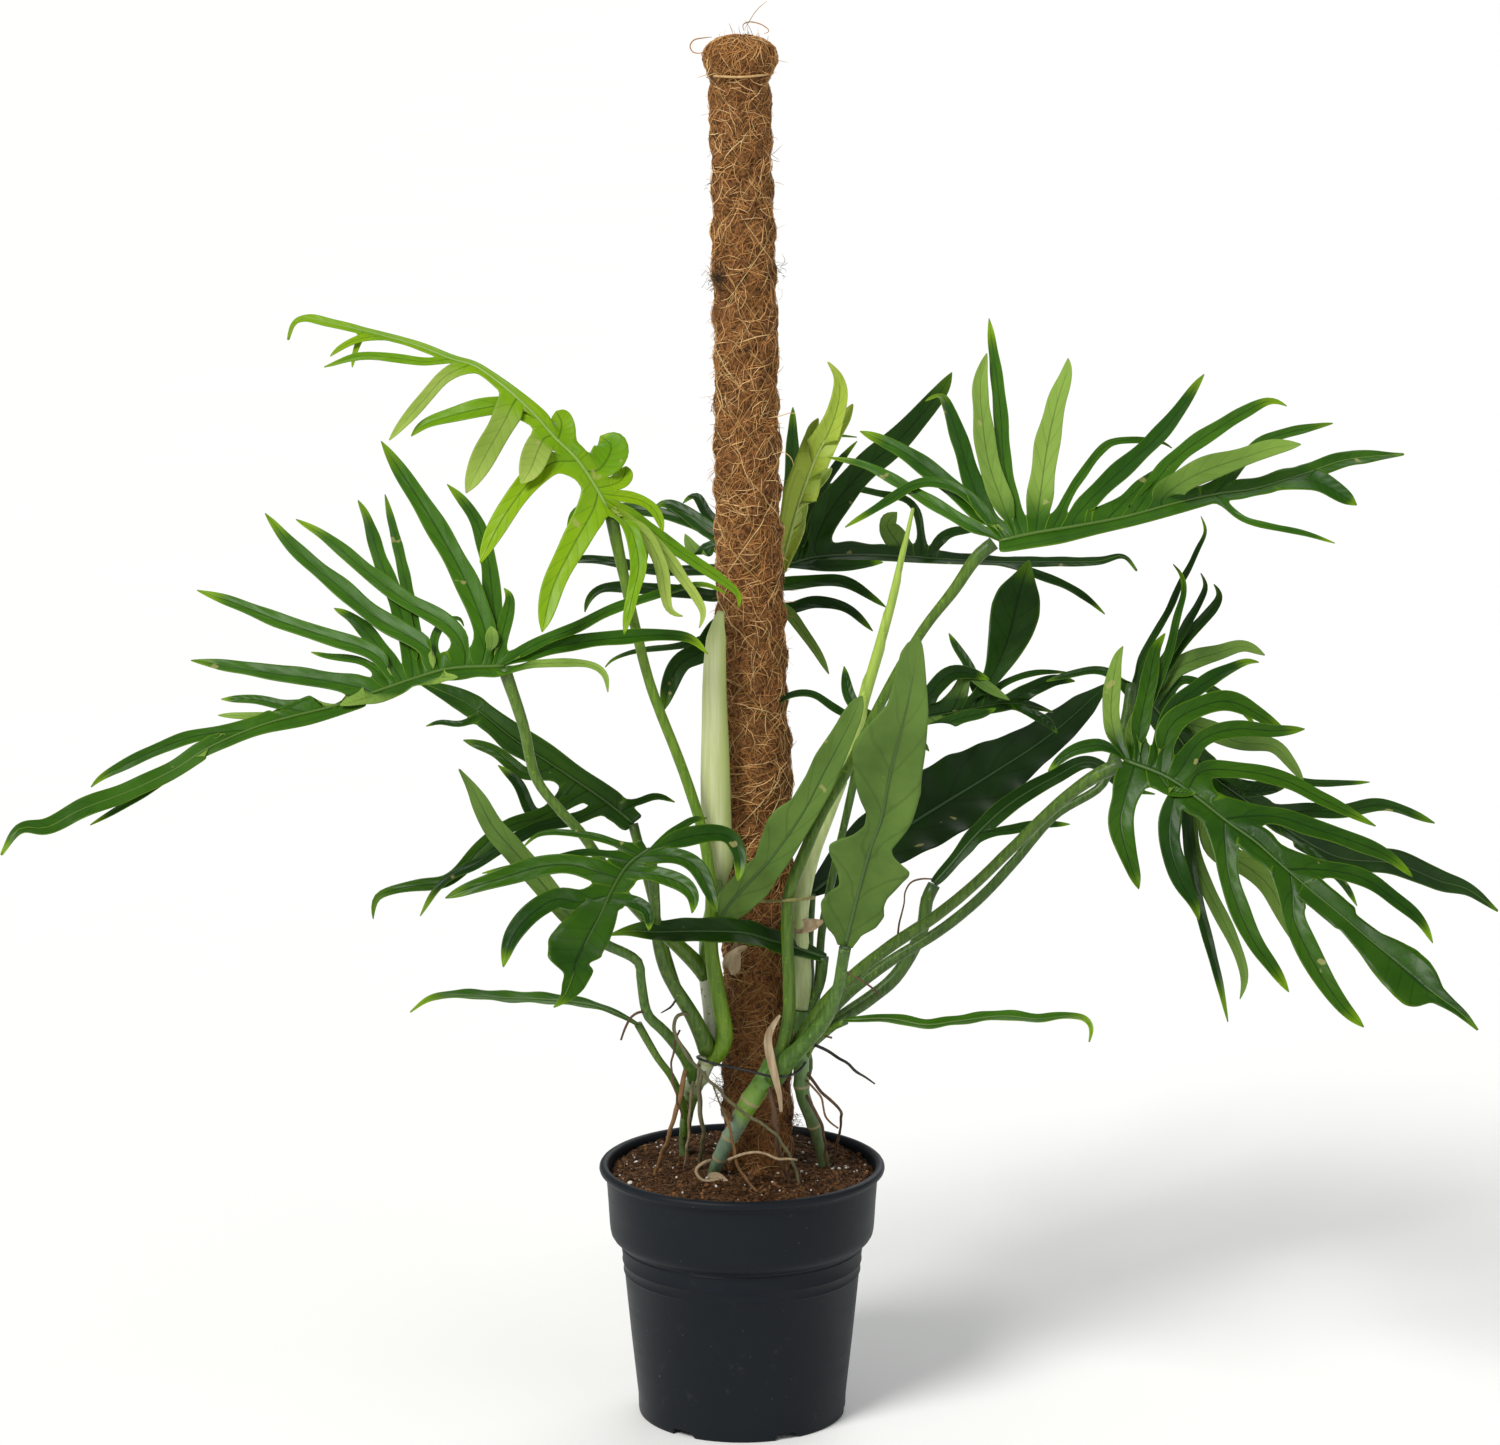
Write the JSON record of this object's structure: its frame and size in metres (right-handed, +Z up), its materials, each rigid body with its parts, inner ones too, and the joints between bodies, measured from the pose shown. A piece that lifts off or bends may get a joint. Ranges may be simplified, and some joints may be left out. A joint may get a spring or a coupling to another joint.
{
  "type": "potted trixi philodendron",
  "caption": "Climbing philodendron with deeply lobed leaves, tied to an upright coir pole in a round dark nursery pot of soil.",
  "frame": {"origin": "centre of the pot's underside, on the surface that the pot stands on", "axes": "+Z up along the pole, +X to the viewer's right, along the plant's widest spread, -Y towards the viewer"},
  "size_m": [1.2241, 0.5513, 1.152],
  "materials": {
    "pot": "satin",
    "soil": "matte",
    "stake": "matte",
    "coir": "matte",
    "golden_thread": "matte",
    "raffia": "matte",
    "black_tie": "satin",
    "stem": "satin",
    "sheath": "satin",
    "leaf_lime": "satin",
    "leaf_mid": "satin",
    "leaf_deep": "satin",
    "leaf_pale": "satin",
    "bract": "matte",
    "root": "matte"
  },
  "bodies": {
    "root": {"pot": "pot", "soil": "soil", "pole_stake": "stake", "pole_coir": "coir", "tie_pole_top": "golden_thread", "tie_raffia": "raffia", "tie_black": "black_tie", "stem_front": "stem", "stem_left": "stem", "stem_right": "stem", "sheath_cream": "sheath", "spike_rolled": "leaf_lime", "leaf_upper_left": "leaf_lime", "leaf_unfurling": "leaf_lime", "leaf_far_left": "leaf_mid", "leaf_far_right": "leaf_mid", "leaf_upper_right": "leaf_mid", "leaf_low_left": "leaf_mid", "leaf_low_right": "leaf_mid", "leaf_front_left": "leaf_deep", "leaf_shaded_left": "leaf_deep", "leaf_behind_pole": "leaf_deep", "leaf_behind_right": "leaf_deep", "leaf_across_front": "leaf_deep", "leaf_dark_right": "leaf_deep", "leaf_middle_right": "leaf_deep", "leaf_back_right": "leaf_deep", "leaf_narrow_right": "leaf_deep", "leaf_strap_left": "leaf_pale", "leaf_strap_middle": "leaf_pale", "leaf_front_entire": "leaf_pale", "bract_front": "bract", "bract_right": "bract", "root_black_right": "root", "root_brown_left": "root", "root_black_left": "root", "root_long_loop": "root", "root_olive_left": "root", "root_grey_left": "root", "root_orange_front": "root", "root_red_front": "root", "root_right_far": "root", "root_right_near": "root"}
  },
  "joints": []
}
